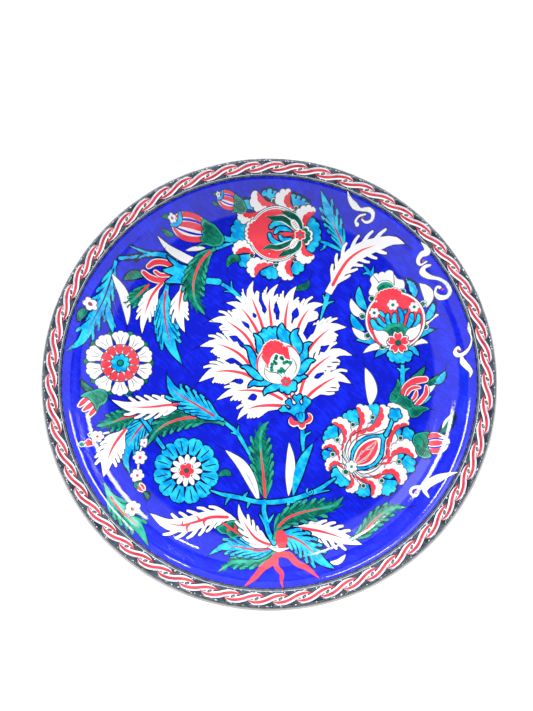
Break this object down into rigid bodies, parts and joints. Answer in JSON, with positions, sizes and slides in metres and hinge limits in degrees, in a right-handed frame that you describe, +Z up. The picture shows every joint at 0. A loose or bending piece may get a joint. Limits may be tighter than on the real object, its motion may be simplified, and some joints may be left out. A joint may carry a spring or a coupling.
{
  "type": "hand painted ceramic plate",
  "caption": "Round footed display plate with a deep well, sloping rim, dense underglaze flower painting and clear glossy glaze.",
  "frame": {"origin": "centre of the foot ring's underside, where the plate stands", "axes": "+Z up along the plate's axis of turning, +Y towards the top of the painted picture, +X to its right"},
  "size_m": [0.3, 0.3, 0.04],
  "materials": {
    "clay_body": "matte",
    "white_slip": "matte",
    "well_painting": "gloss",
    "border_painting": "gloss",
    "clear_glaze": "polished",
    "foot_glaze": "polished"
  },
  "bodies": {
    "root": {"clay_body": "clay_body", "white_slip": "white_slip", "well_painting": "well_painting", "border_painting": "border_painting", "clear_glaze": "clear_glaze", "foot_glaze": "foot_glaze"}
  },
  "joints": []
}
